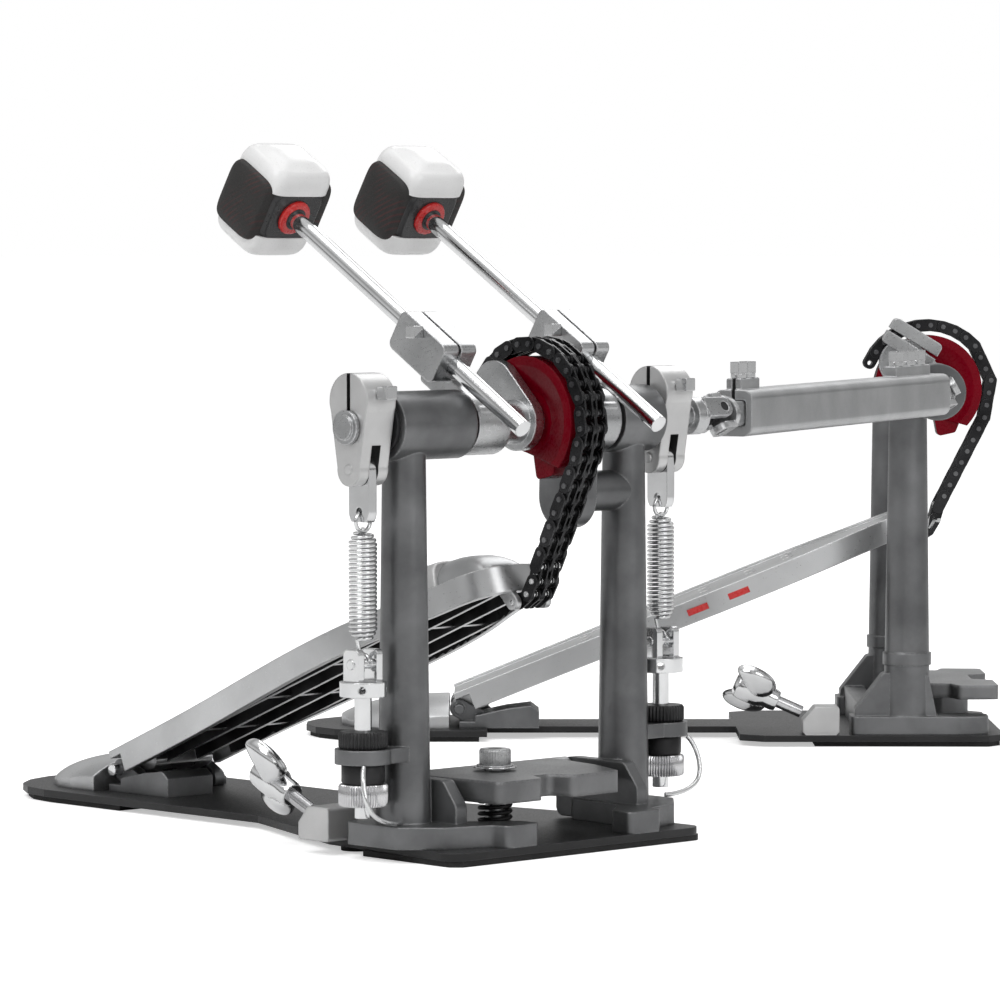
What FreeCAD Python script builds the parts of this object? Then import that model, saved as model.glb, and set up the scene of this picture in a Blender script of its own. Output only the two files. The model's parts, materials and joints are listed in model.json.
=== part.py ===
"""Double bass drum pedal: a main pedal, a slave pedal and the telescopic shaft between them.

Frame: origin on the floor under the middle of the main axle, +X to the player's right,
+Y from heel to drum, +Z up, millimetres. Each sub-part is written to parts/NODE.step.
"""
import FreeCAD
import Part
import os
from math import asin, atan2, cos, degrees, hypot, pi, radians, sin

# ---------------------------------------------------------------- driving dimensions
RUN = 0.05                      # radial running clearance of every turning fit
AXLE_Z = 175.0                  # axle height over the floor
AXLE_R = 5.0
POST_X = 63.0                   # main posts stand at plus and minus this
SPRING_X = 85.5                 # springs and rockers stand at plus and minus this
HUB_R = 14.0                    # bearing housings on the posts
HUB_OUT = 75.0
RIGHT_HUB_IN = 35.0
LEFT_HUB_IN = 50.5
CENTRE_BEARING = (-35.0, -27.0)  # plate that carries both inner axle ends

PLATE_BOTTOM = 2.5              # steel base plate, carried clear of the floor by rubber
PLATE_TOP = 5.7
BASE_FRONT_Y = 41.0
HEEL_END_Y = -306.0
BOARD_X = -8.0                  # middle of footboard, base and heel

HINGE_Y = -236.0                # heel hinge axis
HINGE_Z = 15.0
HINGE_PIN_R = 2.5
BOARD_SLOPE = 21.9              # footboard angle at rest, degrees
BOARD_LENGTH = 249.0
BOARD_STATIONS = ((0, 27.5), (20, 28), (60, 29.5), (95, 33), (130, 36.5), (175, 36.5), (200, 31),
                  (220, 25))    # distance from the hinge and half width there
RAIL_TOP = 8.5                  # board section, measured square to the board
DECK_TOP = 7.1
DECK_BOTTOM = 3.9
RAIL_BOTTOM = -3.0
RAIL_WIDTH = 3.4

PITCH = 6.35                    # duplex roller chain
CHAIN_R = 32.0                  # pitch radius of the chain on its cam
CHAIN_X = -12.0
CAM_R = 27.0                    # cam track, under the chain's side plates
CAM_DISH = 2.5                  # depth of the hollow in each side of the cam
HANG_ANGLE = 27.0               # lean of the hanging run from vertical, degrees
WRAP_LINKS = 10
RUN_LINKS = 8
TOE_LEANS = (16.0, 30.0, 56.0)  # lean of each link under the toe from vertical, degrees
EAR_IN = 7.3                    # anchor ears under the toe, from the chain's middle
EAR_OUT = 9.9
LINK_R = 3.0
PIN_R = 1.15
ROLLER_R = 1.65
ROW_OFFSET = 3.2
PLATE_SPANS = ((-6.5, -5.75), (-0.65, 0.65), (5.75, 6.5))
PIN_REACH = 7.1

BEATER_LEAN = 31.7              # beater shaft above horizontal, degrees
BEATER_OFFSET = 19.0            # shaft axis from axle axis
BEATER_R = 3.75
BEATER_TAIL = 33.0
BEATER_HEAD = 144.0             # from the axle's foot to the middle of the head
HEAD_WIDTH = 42.0               # beater head across, along its shaft and square to both
HEAD_DEPTH = 30.0
HEAD_HEIGHT = 47.0
SHAFT_IN_HEAD = 10.0            # the shaft ends this far short of the head's middle
KEY_SEAT = (31.0, 24.7)         # key bolt of a beater clamp, along the shaft and out from the axle
RIGHT_BEATER_X = 33.0
LEFT_BEATER_X = -45.0

ROCKER_ARM = 17.0               # axle axis to spring pin
ANCHOR_Z = 80.0                 # lower spring pin
COIL_BOTTOM = 90.0
COIL_TOP = 134.0

FORK_X = -117.0                 # centre of the universal joint on the main axle
CROSS_TURN = 61.0               # fork pins at rest, from vertical, degrees
CROSS_R = 2.2
FORK_PLAY = 0.7                 # play at the open pins of the universal joints

TUBE_START = 27.0               # first end of the shaft's outer tube, from the main joint

CLAMP_X = 12.0                  # hoop clamp bolt
JAW_Z = 22.0                    # underside of the hoop clamp jaws
WING_LEAN = 24.0                # wing bolts rise to the back by this angle, degrees

SLAVE_TURN = 46.0               # slave pedal's turn about vertical, degrees
SLAVE_X = -482.0
SLAVE_Y = -198.0
SLAVE_POST_X = 55.0
SLAVE_POST_Y = -14.0
SLAVE_FORK_X = 84.0
SLAVE_HEEL_END_Y = -314.0

X_AXIS = FreeCAD.Vector(1, 0, 0)
Y_AXIS = FreeCAD.Vector(0, 1, 0)
Z_AXIS = FreeCAD.Vector(0, 0, 1)
ORIGIN = FreeCAD.Vector(0, 0, 0)

nodes = {}


# ---------------------------------------------------------------- shape helpers
def vec(point):
    return FreeCAD.Vector(*point)


def box(x0, x1, y0, y1, z0, z1):
    return Part.makeBox(x1 - x0, y1 - y0, z1 - z0, FreeCAD.Vector(x0, y0, z0))


def rod(start, end, radius):
    along = vec(end) - vec(start)
    return Part.makeCylinder(radius, along.Length, vec(start), along)


def cone(start, end, radius_a, radius_b):
    along = vec(end) - vec(start)
    return Part.makeCone(radius_a, radius_b, along.Length, vec(start), along)


def fuse(shapes):
    joined = shapes[0].multiFuse(shapes[1:]) if len(shapes) > 1 else shapes[0]
    return joined.removeSplitter()


def group(shapes):
    return Part.makeCompound(shapes)


def ring(start, end, outer, inner):
    return rod(start, end, outer).cut(rod(start, end, inner))


def prism(points, along):
    """Extrude a closed outline of 3-D points."""
    corners = [vec(point) for point in points]
    wire = Part.makePolygon(corners + corners[:1])
    return Part.Face(wire).extrude(along)


def plan(points, z0, z1):
    return prism([(x, y, z0) for x, y in points], FreeCAD.Vector(0, 0, z1 - z0))


def profile(points, x0, x1):
    return prism([(x0, y, z) for y, z in points], FreeCAD.Vector(x1 - x0, 0, 0))


def edges_along(solid, axis):
    found = []
    for edge in solid.Edges:
        if isinstance(edge.Curve, Part.Line):
            run = (edge.Vertexes[-1].Point - edge.Vertexes[0].Point).normalize()
            if abs(run.dot(axis)) > 0.999:
                found.append(edge)
    return found


def soften(solid, axis, radius):
    """Round every straight edge that runs along the axis."""
    return solid.makeFillet(radius, edges_along(solid, axis))


def capsule(x0, x1, a, b, radius):
    """Link plate in the YZ plane between two pins."""
    length = hypot(b[0] - a[0], b[1] - a[1])
    turn = degrees(atan2(b[1] - a[1], b[0] - a[0]))
    bar = box(x0, x1, 0, length, -radius, radius)
    bar = bar.rotated(ORIGIN, X_AXIS, turn).translated(FreeCAD.Vector(0, a[0], a[1]))
    ends = [rod((x0, p[0], p[1]), (x1, p[0], p[1]), radius) for p in (a, b)]
    return fuse([bar] + ends)


def wire_rod(points, radius):
    """Round wire along a smooth curve through the points."""
    curve = Part.BSplineCurve()
    curve.interpolate([vec(point) for point in points])
    path = Part.Wire([curve.toShape()])
    start = vec(points[0])
    circle = Part.makeCircle(radius, start, curve.tangent(curve.FirstParameter)[0])
    return path.makePipeShell([Part.Wire([circle])], True, True)


def key_bolt(start, end, shank_r, head_r, head_h):
    """Square-headed key bolt: shank from start to end, head beyond end."""
    along = (vec(end) - vec(start)).normalize()
    head_end = vec(end) + along * head_h
    head = rod(end, tuple(head_end), head_r)
    flat = head_r * 1.5
    block = Part.makeBox(flat, flat, head_h, FreeCAD.Vector(-flat / 2, -flat / 2, 0))
    block.Placement = FreeCAD.Placement(vec(end), FreeCAD.Rotation(Z_AXIS, along))
    return fuse([rod(start, end, shank_r), head.common(block)])


def to_slave(shape):
    turned = shape.rotated(ORIGIN, Z_AXIS, SLAVE_TURN)
    return turned.translated(FreeCAD.Vector(SLAVE_X, SLAVE_Y, 0))


def mirror_x(shape):
    return shape.mirror(ORIGIN, X_AXIS)


def on_board(shape):
    """Carry a shape from board coordinates (x, along, up) to its sloped place."""
    sloped = shape.rotated(ORIGIN, X_AXIS, BOARD_SLOPE)
    return sloped.translated(FreeCAD.Vector(0, HINGE_Y, HINGE_Z))


# ---------------------------------------------------------------- roller chain
def inner_row(x):
    plates = [capsule(x + s - t, x + s + t, (0, 0), (PITCH, 0), LINK_R)
              for s, t in ((-1.97, 0.37), (1.97, 0.37))]
    rollers = [rod((x - 1.6, y, 0), (x + 1.6, y, 0), ROLLER_R) for y in (0, PITCH)]
    solid = fuse(plates + rollers)
    for y in (0, PITCH):
        solid = solid.cut(rod((x - 3, y, 0), (x + 3, y, 0), PIN_R + RUN))
    return solid


def outer_link(closed=True):
    """Outer link; an open one leaves its second pin to the next piece."""
    plates = [capsule(x0, x1, (0, 0), (PITCH, 0), LINK_R) for x0, x1 in PLATE_SPANS]
    pins = [rod((-PIN_REACH, y, 0), (PIN_REACH, y, 0), PIN_R) for y in ((0, PITCH) if closed else (0,))]
    return fuse(plates + pins)


INNER = [inner_row(-ROW_OFFSET), inner_row(ROW_OFFSET)]
OUTER = [outer_link()]
OPEN_OUTER = [outer_link(closed=False)]


def chain(points, x, first_inner=True, last_open=False):
    """Links between successive pin centres (y, z)."""
    solids = []
    for index in range(len(points) - 1):
        (y0, z0), (y1, z1) = points[index], points[index + 1]
        inner = (index % 2 == 0) == first_inner
        link = INNER if inner else OUTER
        if last_open and index == len(points) - 2:
            link = OPEN_OUTER
        turn = degrees(atan2(z1 - z0, y1 - y0))
        for solid in link:
            placed = solid.rotated(ORIGIN, X_AXIS, turn)
            solids.append(placed.translated(FreeCAD.Vector(x, y0, z0)))
    return solids


def on_cam(angle):
    return (CHAIN_R * cos(angle), AXLE_Z + CHAIN_R * sin(angle))


def segment_points(start, end, count):
    return [(start[0] + (end[0] - start[0]) * i / count,
             start[1] + (end[1] - start[1]) * i / count) for i in range(count + 1)]


def chain_layout(segments, links_each):
    """Pin points of the wrapped part, each unwinding segment and the hanging run."""
    tangent = -radians(HANG_ANGLE)
    step = 2 * asin(links_each * PITCH / 2 / CHAIN_R)
    joints = [on_cam(tangent + i * step) for i in range(segments, -1, -1)]
    link_step = 2 * asin(PITCH / 2 / CHAIN_R)
    last = tangent + segments * step
    wrap = [on_cam(last + i * link_step) for i in range(WRAP_LINKS, -1, -1)]
    parts = [segment_points(joints[i], joints[i + 1], links_each) for i in range(segments)]
    lean = radians(HANG_ANGLE)
    end = (joints[-1][0] - RUN_LINKS * PITCH * sin(lean),
           joints[-1][1] - RUN_LINKS * PITCH * cos(lean))
    return wrap, parts, segment_points(joints[-1], end, RUN_LINKS)


def toe_chain_points(start):
    """Pins of the last links, which curl back under the toe of the board."""
    points = [start]
    for lean in TOE_LEANS:
        y, z = points[-1]
        points.append((y - PITCH * sin(radians(lean)), z - PITCH * cos(radians(lean))))
    return points


def toe_row(x):
    """First toe link row: its upper hole is plugged, so the run above ends free of it."""
    plug = rod((x - 2.34, 0, 0), (x + 2.34, 0, 0), PIN_R + RUN)
    return fuse([inner_row(x), plug])


def toe_links(x, start):
    """Three links under the toe and the anchor pin that holds them to the board."""
    points = toe_chain_points(start)
    (y0, z0), (y1, z1) = points[0], points[1]
    turn = degrees(atan2(z1 - z0, y1 - y0))
    place = FreeCAD.Vector(x, y0, z0)
    first = [toe_row(s * ROW_OFFSET).rotated(ORIGIN, X_AXIS, turn).translated(place)
             for s in (-1, 1)]
    rest = chain(points[1:], x, first_inner=False)
    y, z = points[-1]
    return first + rest + [rod((x - EAR_OUT, y, z), (x + EAR_OUT, y, z), PIN_R)]


def chain_ears(x, start):
    """Two ears under the toe that hold the anchor pin."""
    y, z = toe_chain_points(start)[-1]
    ears = [capsule(x + x0, x + x1, (y, z), (y - 7, z + 7), 3.2)
            for x0, x1 in ((-EAR_OUT, -EAR_IN), (EAR_IN, EAR_OUT))]
    return [ear.cut(rod((x - 20, y, z), (x + 20, y, z), PIN_R)) for ear in ears]


# ---------------------------------------------------------------- cams
def cam(x0, x1, radius):
    """Chain track with dished sides and a lower tab; the hub is cut out for the axle carrier."""
    track = rod((x0, 0, AXLE_Z), (x1, 0, AXLE_Z), radius)
    lower = profile([(-40, AXLE_Z - 3), (14, AXLE_Z - 17), (60, AXLE_Z - 30), (60, 120), (-40, 120)],
                    x0 - 1, x1 + 1)
    solid = track.cut(lower)
    tab = profile([(2, AXLE_Z - 8), (18, AXLE_Z - 12), (14, AXLE_Z - 22), (5, AXLE_Z - 24)], x0 + 2, x1 - 2)
    solid = fuse([solid, soften(tab, X_AXIS, 2.0)])
    for face, inward in ((x0, 1), (x1, -1)):
        solid = solid.cut(cone((face, 0, AXLE_Z), (face + inward * CAM_DISH, 0, AXLE_Z), CAM_R - 4.0, 13.0))
    return solid.cut(rod((x0 - 1, 0, AXLE_Z), (x1 + 1, 0, AXLE_Z), AXLE_R + 4.02))


def cam_carrier(x0, x1, flange_x0, flange_x1):
    """Keyed sleeve through the cam with a lobed flange on its near face."""
    sleeve = rod((x0, 0, AXLE_Z), (x1, 0, AXLE_Z), AXLE_R + 4.0)
    flange = capsule(flange_x0, flange_x1, (-13.0, AXLE_Z + 13.0), (0.0, AXLE_Z), 12.0)
    return fuse([sleeve, flange])


# ---------------------------------------------------------------- posts
def oval(cx, cy, z, half_x, half_y):
    """Upright ellipse, longer from heel to drum."""
    ellipse = Part.Ellipse(FreeCAD.Vector(cx, cy + half_y, z), FreeCAD.Vector(cx - half_x, cy, z),
                           FreeCAD.Vector(cx, cy, z))
    return Part.Wire([ellipse.toShape()])


def column(cx, cy, z0, z1, low, high):
    return Part.makeLoft([oval(cx, cy, z0, *low), oval(cx, cy, z1, *high)], True)


def post(hub_in):
    """Post casting of the right side, from its foot to its bearing hub."""
    shaft = column(POST_X, 0, PLATE_TOP + 4, AXLE_Z, (10.2, 11.5), (8.4, 9.0))
    hub = rod((hub_in, 0, AXLE_Z), (HUB_OUT, 0, AXLE_Z), HUB_R)
    foot = plan([(80, -17), (80, 13), (66, 27), (46, 33), (44, 41), (26, 41), (26, 30), (44, 16),
                 (48, -17)], PLATE_TOP, PLATE_TOP + 9)
    foot = soften(foot, Z_AXIS, 3.0)
    cheek = profile([(-26, PLATE_TOP + 1), (22, PLATE_TOP + 1), (22, 22), (14, 32), (-20, 32), (-26, 24)],
                    49.0, 55.0)
    cheek = soften(cheek, X_AXIS, 4.0)
    bracket = fuse([rod((SPRING_X, 0, 40), (SPRING_X, 0, 46), 11.5),
                    box(POST_X, SPRING_X, -9, 9, 40, 46)])
    solid = fuse([shaft, hub, foot, cheek, bracket])
    solid = solid.cut(rod((hub_in - 1, 0, AXLE_Z), (HUB_OUT + 1, 0, AXLE_Z), 11.0))
    return solid.cut(rod((SPRING_X, 0, 30), (SPRING_X, 0, 60), 3.6))


def left_post():
    solid = mirror_x(post(LEFT_HUB_IN))
    low, high = CENTRE_BEARING
    plate = capsule(low, high, (-1.0, 143.0), (0.0, AXLE_Z), 13.0)
    arm = rod((-POST_X, 0, 145), (high - 4, 0, 145), 8.5)
    solid = fuse([solid, plate, arm])
    return solid.cut(rod((low - 1, 0, AXLE_Z), (high + 1, 0, AXLE_Z), 8.0))


def bearing(x0, x1, outer):
    return ring((x0, 0, AXLE_Z), (x1, 0, AXLE_Z), outer, AXLE_R + RUN)


def axle_bearings():
    rings = []
    for side, hub_in in ((1, RIGHT_HUB_IN), (-1, LEFT_HUB_IN)):
        for x0, x1 in ((hub_in - 1.4, hub_in + 7), (HUB_OUT - 7, HUB_OUT + 1.6)):
            body = bearing(min(side * x0, side * x1), max(side * x0, side * x1), 10.98)
            rings.append(body)
    low, high = CENTRE_BEARING
    rings.append(bearing(low, high, 7.98))
    return group(rings)


# ---------------------------------------------------------------- base and heel
def heel_outline(half, end_y, front_y, x=BOARD_X, back_round=44.0, steps=9):
    """Plan of the heel end: straight sides running into a round back."""
    points = [(x + half, front_y)]
    for i in range(steps + 1):
        angle = -pi * i / steps
        points.append((x + half * cos(angle), end_y + back_round + back_round * sin(angle)))
    points.append((x - half, front_y))
    return points


def base_plate():
    half = 46.0
    back = heel_outline(half, HEEL_END_Y, -118)
    front_left = [(-68, -40), (-70, BASE_FRONT_Y)]
    front_right = [(74, BASE_FRONT_Y), (68, -40)]
    solid = plan(back + front_left + front_right, PLATE_BOTTOM, PLATE_TOP)
    corners = [edge for edge in edges_along(solid, Z_AXIS) if edge.Vertexes[0].Point.y > 30]
    return solid.makeFillet(8.0, corners)


def base_rubber():
    heel = plan(heel_outline(44.0, HEEL_END_Y + 2, -212), 0, PLATE_BOTTOM)
    front = plan([(-69, -16), (-69, 38), (-66, 40), (68, 40), (72, 36), (71, -16)], 0, PLATE_BOTTOM)
    studs = [rod((x, -34, 0), (x, -34, PLATE_BOTTOM), 6.5) for x in (-58, 58)]
    return group([heel, front] + studs)


def heel_dome(end_y, front_y, half=35.0, x=BOARD_X):
    """Cast heel plate: a D-shaped block whose top falls to the back."""
    body = plan(heel_outline(half, end_y, front_y, x, back_round=33.0), PLATE_TOP, 24.0)
    reach = front_y - end_y
    dome = Part.makeSphere(1.0)
    matrix = FreeCAD.Matrix()
    matrix.A11 = half + 5.0
    matrix.A22 = reach + 4.0
    matrix.A33 = 16.5
    dome = dome.transformGeometry(matrix).translated(FreeCAD.Vector(x, front_y, PLATE_TOP - 1.5))
    return body.common(dome)


def heel_bracket(x=BOARD_X):
    """Wedge under the board with the two lugs that hold the hinge pin."""
    wedge = profile([(-228, PLATE_TOP), (-228, 12), (-212, 15.5), (-200, 17), (-196, 14), (-196, PLATE_TOP)],
                    x + 4, x + 30)
    floor = box(x - 30, x + 30, -236, -226, PLATE_TOP, 9.0)
    lugs = []
    for inner, outer in ((x + 18, x + 23.6), (x - 23.6, x - 18)):
        lug = capsule(inner, outer, (HINGE_Y, HINGE_Z), (HINGE_Y + 12, PLATE_TOP + 3), 4.6)
        foot = box(inner, outer, HINGE_Y, -230, PLATE_TOP, 9.0)
        lugs.append(lug.cut(box(inner, outer, -300, -200, 0, PLATE_TOP)))
        lugs.append(foot)
    solid = fuse([wedge, floor] + lugs)
    return solid.cut(rod((x - 50, HINGE_Y, HINGE_Z), (x + 50, HINGE_Y, HINGE_Z), HINGE_PIN_R))


def hinge_pin(x=BOARD_X):
    return rod((x - 28.5, HINGE_Y, HINGE_Z), (x + 28.5, HINGE_Y, HINGE_Z), HINGE_PIN_R)


# ---------------------------------------------------------------- footboard
def board_outline(inset, level, height):
    """Plan of the board: hips, flowing sides and a round toe, drawn inset all round."""
    right = [FreeCAD.Vector(half - inset, s, level) for s, half in BOARD_STATIONS]
    toe_half = BOARD_STATIONS[-1][1] - inset
    toe = [FreeCAD.Vector(toe_half * 0.86, BOARD_LENGTH - 13 - inset * 0.7, level),
           FreeCAD.Vector(toe_half * 0.5, BOARD_LENGTH - 2 - inset, level),
           FreeCAD.Vector(0, BOARD_LENGTH - inset, level)]
    half_points = right + toe
    left = [FreeCAD.Vector(-p.x, p.y, p.z) for p in half_points[:-1]][::-1]
    curve = Part.BSplineCurve()
    curve.interpolate(half_points + left)
    back = Part.LineSegment(left[-1], right[0])
    wire = Part.Wire([curve.toShape(), back.toShape()])
    return Part.Face(wire).extrude(FreeCAD.Vector(0, 0, height))


def footboard_flat():
    outer = board_outline(0.0, RAIL_BOTTOM, RAIL_TOP - RAIL_BOTTOM)
    above = board_outline(RAIL_WIDTH, DECK_TOP, 10)
    below = board_outline(RAIL_WIDTH, RAIL_BOTTOM - 5, DECK_BOTTOM - RAIL_BOTTOM + 5)
    inside = board_outline(RAIL_WIDTH - 0.5, RAIL_BOTTOM + 0.5, DECK_BOTTOM - RAIL_BOTTOM)
    ribs = [box(x - 1.2, x + 1.2, 14, BOARD_LENGTH, RAIL_BOTTOM + 0.5, DECK_BOTTOM + 0.5)
            for x in (-27, -9, 9, 27)]
    cross_ribs = [box(-60, 60, s - 1.2, s + 1.2, RAIL_BOTTOM + 1.8, DECK_BOTTOM + 0.5)
                  for s in (60, 105, 150, 195)]
    solid = outer.cut(above).cut(below)
    solid = fuse([solid] + [rib.common(inside) for rib in ribs + cross_ribs])
    grips = [Part.makeCylinder(3.2, 10, FreeCAD.Vector(x, s, DECK_BOTTOM - 2))
             for s in (72, 92, 117, 137, 162, 182) for x in (-18, 0, 18)]
    solid = solid.cut(group(grips))
    solid = solid.cut(box(-60, 60, -20, 7.5, RAIL_BOTTOM - 1, DECK_BOTTOM + 1.3))
    clear = rod((-60, 0, 0), (60, 0, 0), 6.2)
    keep = box(-60, 60, -6, 7.5, DECK_BOTTOM + 1.3, 20)
    solid = solid.cut(clear.cut(keep))
    lugs = [capsule(x0, x1, (0, 0), (13, 0), 4.4) for x0, x1 in ((-16.5, -8), (8, 16.5))]
    bridge = box(-16.5, 16.5, 7.5, 16, -3.5, DECK_BOTTOM + 0.5)
    solid = fuse([solid, bridge] + lugs)
    return solid.cut(rod((-60, 0, 0), (60, 0, 0), HINGE_PIN_R + RUN))


def footboard(x, chain_x, run_end):
    flat = footboard_flat().translated(FreeCAD.Vector(x, 0, 0))
    return fuse([on_board(flat)] + chain_ears(chain_x, run_end))


def toe_stop(x=BOARD_X):
    """Rounded stop plate on a pad at the toe end of the deck."""
    pad = box(-17, 17, BOARD_LENGTH - 40, BOARD_LENGTH - 18, DECK_TOP, DECK_TOP + 2.6)
    wall = plan([(-19, BOARD_LENGTH - 25), (19, BOARD_LENGTH - 25), (17, BOARD_LENGTH - 18),
                 (-17, BOARD_LENGTH - 18)], DECK_TOP, DECK_TOP + 15.5)
    return on_board(fuse([soften(pad, Z_AXIS, 3.0), wall]).translated(FreeCAD.Vector(x, 0, 0)))


# ---------------------------------------------------------------- beaters
HEADWARD = FreeCAD.Vector(0, -cos(radians(BEATER_LEAN)), sin(radians(BEATER_LEAN)))
OUTWARD = FreeCAD.Vector(0, sin(radians(BEATER_LEAN)), cos(radians(BEATER_LEAN)))


def on_beater(x, along, out):
    """Point by its distance along the shaft from the axle's foot and out from the axle."""
    place = FreeCAD.Vector(x, 0, AXLE_Z) + HEADWARD * along + OUTWARD * out
    return (place.x, place.y, place.z)


def beater_box(x0, x1, along0, along1, out0, out1):
    """Block square to the beater shaft."""
    points = [on_beater(x0, a, o) for a, o in
              ((along0, out0), (along1, out0), (along1, out1), (along0, out1))]
    return prism(points, FreeCAD.Vector(x1 - x0, 0, 0))


def beater_holder(x0, x1, shaft_x, half):
    """Boss on the axle, arm and split clamp round the beater shaft, which may stand over the hub."""
    boss = rod((x0, 0, AXLE_Z), (x1, 0, AXLE_Z), 13.0)
    arm = soften(beater_box(x0 + 1.5, x1 - 1.5, -8, 30, 2, 12), X_AXIS, 2.0)
    clamp = soften(beater_box(shaft_x - half, shaft_x + half, 14, 44, 10, 27.5), X_AXIS, 3.0)
    solid = fuse([boss, arm, clamp])
    solid = solid.cut(rod(on_beater(shaft_x, -60, BEATER_OFFSET), on_beater(shaft_x, 60, BEATER_OFFSET),
                          BEATER_R + RUN))
    slit = beater_box(shaft_x - 0.8, shaft_x + 0.8, 5, 50, BEATER_OFFSET, 40)
    solid = solid.cut(slit)
    solid = solid.cut(rod(on_beater(shaft_x - half - 1, *KEY_SEAT), on_beater(shaft_x + half + 1, *KEY_SEAT),
                          1.6))
    return solid.cut(rod((x0 - 1, 0, AXLE_Z), (x1 + 1, 0, AXLE_Z), AXLE_R + 0.01))


def beater_shaft(x):
    head_end = on_beater(x, BEATER_HEAD - SHAFT_IN_HEAD, BEATER_OFFSET)
    return rod(on_beater(x, -BEATER_TAIL, BEATER_OFFSET), head_end, BEATER_R)


def beater_head(x):
    """Rounded four-sided head, its shaft socket on the axle side."""
    centre = vec(on_beater(x, BEATER_HEAD, BEATER_OFFSET))
    block = box(-HEAD_WIDTH / 2, HEAD_WIDTH / 2, -HEAD_DEPTH / 2, HEAD_DEPTH / 2, -HEAD_HEIGHT / 2,
                HEAD_HEIGHT / 2)
    block = block.makeFillet(11.0, block.Edges)
    block = block.rotated(ORIGIN, X_AXIS, -BEATER_LEAN).translated(centre)
    socket_end = BEATER_HEAD - SHAFT_IN_HEAD + 0.1
    socket = rod(on_beater(x, 0, BEATER_OFFSET), on_beater(x, socket_end, BEATER_OFFSET), BEATER_R + 0.02)
    return block.cut(socket)


# ---------------------------------------------------------------- rockers and springs
def rocker(x0, x1):
    """Clamp on the axle end: wide split top, narrow slotted tip with the spring pin."""
    pin_z = AXLE_Z - ROCKER_ARM
    top = rod((x0, 0, AXLE_Z + 10.5), (x1, 0, AXLE_Z + 10.5), 11.2)
    tip = rod((x0, 0, pin_z), (x1, 0, pin_z), 6.6)
    sides = profile([(-11.2, AXLE_Z + 11), (-6.4, pin_z), (6.4, pin_z), (11.2, AXLE_Z + 11)], x0, x1)
    solid = fuse([top, tip, sides])
    middle = (x0 + x1) / 2
    solid = solid.cut(box(middle - 2.4, middle + 2.4, -20, 20, pin_z - 10, AXLE_Z - 7.2))
    solid = solid.cut(box(x0 - 1, x1 + 1, -1, 1, AXLE_Z, AXLE_Z + 30))
    solid = solid.cut(rod((x0 - 1, 0, AXLE_Z), (x1 + 1, 0, AXLE_Z), AXLE_R + 0.01))
    solid = solid.cut(rod((middle, -20, AXLE_Z + 14), (middle, 20, AXLE_Z + 14), 2.1))
    return fuse([solid, rod((x0 - 0.8, 0, pin_z), (x1 + 0.8, 0, pin_z), 2.0)])


def spring_yoke(x):
    """Flat link with the coil's upper hook; its upper hole hangs loosely on the rocker pin."""
    pin_z = AXLE_Z - ROCKER_ARM
    blade = capsule(x - 2.1, x + 2.1, (0, 141.0), (0, pin_z), 5.9)
    blade = blade.cut(rod((x - 5, 0, pin_z), (x + 5, 0, pin_z), 3.9))
    blade = blade.cut(rod((x - 5, 0, 141.0), (x + 5, 0, 141.0), 1.8))
    hook = Part.makeTorus(3.9, 0.8, FreeCAD.Vector(x, 0, 137.1), Y_AXIS)
    trimmed = blade.cut(rod((x, -20, 137.1), (x, 20, 137.1), 3.0).common(box(x - 9, x + 9, -9, 9, 120, 137)))
    return trimmed, hook


def coil(x):
    """Coil spring envelope with its lower hook round the anchor pin."""
    body = ring((x, 0, COIL_BOTTOM), (x, 0, COIL_TOP - 1.5), 6.0, 4.4)
    cap = rod((x, 0, COIL_BOTTOM), (x, 0, COIL_BOTTOM + 1.6), 6.0)
    stem = rod((x, 0, ANCHOR_Z + 4.0), (x, 0, COIL_BOTTOM + 1), 0.8)
    hook = Part.makeTorus(3.6, 0.8, FreeCAD.Vector(x, 0, ANCHOR_Z + 0.6), X_AXIS)
    return fuse([body, cap, stem, hook])


def spring_anchor(x):
    """Threaded rod with a drilled collar and a fork for the spring's lower hook."""
    shank = rod((x, 0, 18), (x, 0, 68), 3.5)
    collar = rod((x, 0, 67), (x, 0, 73), 9.5)
    holes = [rod((x, 0, 70), (x + 12 * cos(a), 12 * sin(a), 70), 1.5)
             for a in (radians(45 + 90 * i) for i in range(4))]
    prongs = [soften(box(x + s - 1.6, x + s + 1.6, -4.5, 4.5, 72, 86), X_AXIS, 2.0) for s in (-5.0, 5.0)]
    pin = rod((x - 7.2, 0, ANCHOR_Z), (x + 7.2, 0, ANCHOR_Z), 2.0)
    solid = fuse([shank, collar] + prongs + [pin])
    return solid.cut(fuse(holes))


def tension_nuts(x):
    """Knurled knob over the bracket, bush and lock nut under it."""
    spans = ((46.1, 53, 10.0), (32, 39.9, 9.0), (23, 31.9, 10.0))
    return group([ring((x, 0, z0), (x, 0, z1), outer, 3.5 + RUN) for z0, z1, outer in spans])


def guard_wire(side):
    points = [(side * 93, 8.5, 39.6), (side * 96, 12, 31), (side * 94, 14, 22), (side * 86, 14, 17.5),
              (side * 76, 12, 16.2)]
    return wire_rod(points, 1.0)


# ---------------------------------------------------------------- hoop clamp
def jaw():
    """Hoop clamp jaw: a lobed plate hinged behind the clamp bolt."""
    outline = [(-40, -20), (46, -20), (46, 6), (44, 36), (20, 36), (16, 26), (6, 26), (2, 36), (-24, 36),
               (-34, 12)]
    plate = soften(plan(outline, JAW_Z + 1, JAW_Z + 10), Z_AXIS, 3.0)
    pivot = rod((-48.6, -20, JAW_Z + 5), (48.6, -20, JAW_Z + 5), 5.0)
    solid = fuse([plate, pivot])
    return solid.cut(rod((CLAMP_X, 0, 0), (CLAMP_X, 0, 60), 4.6))


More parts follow.
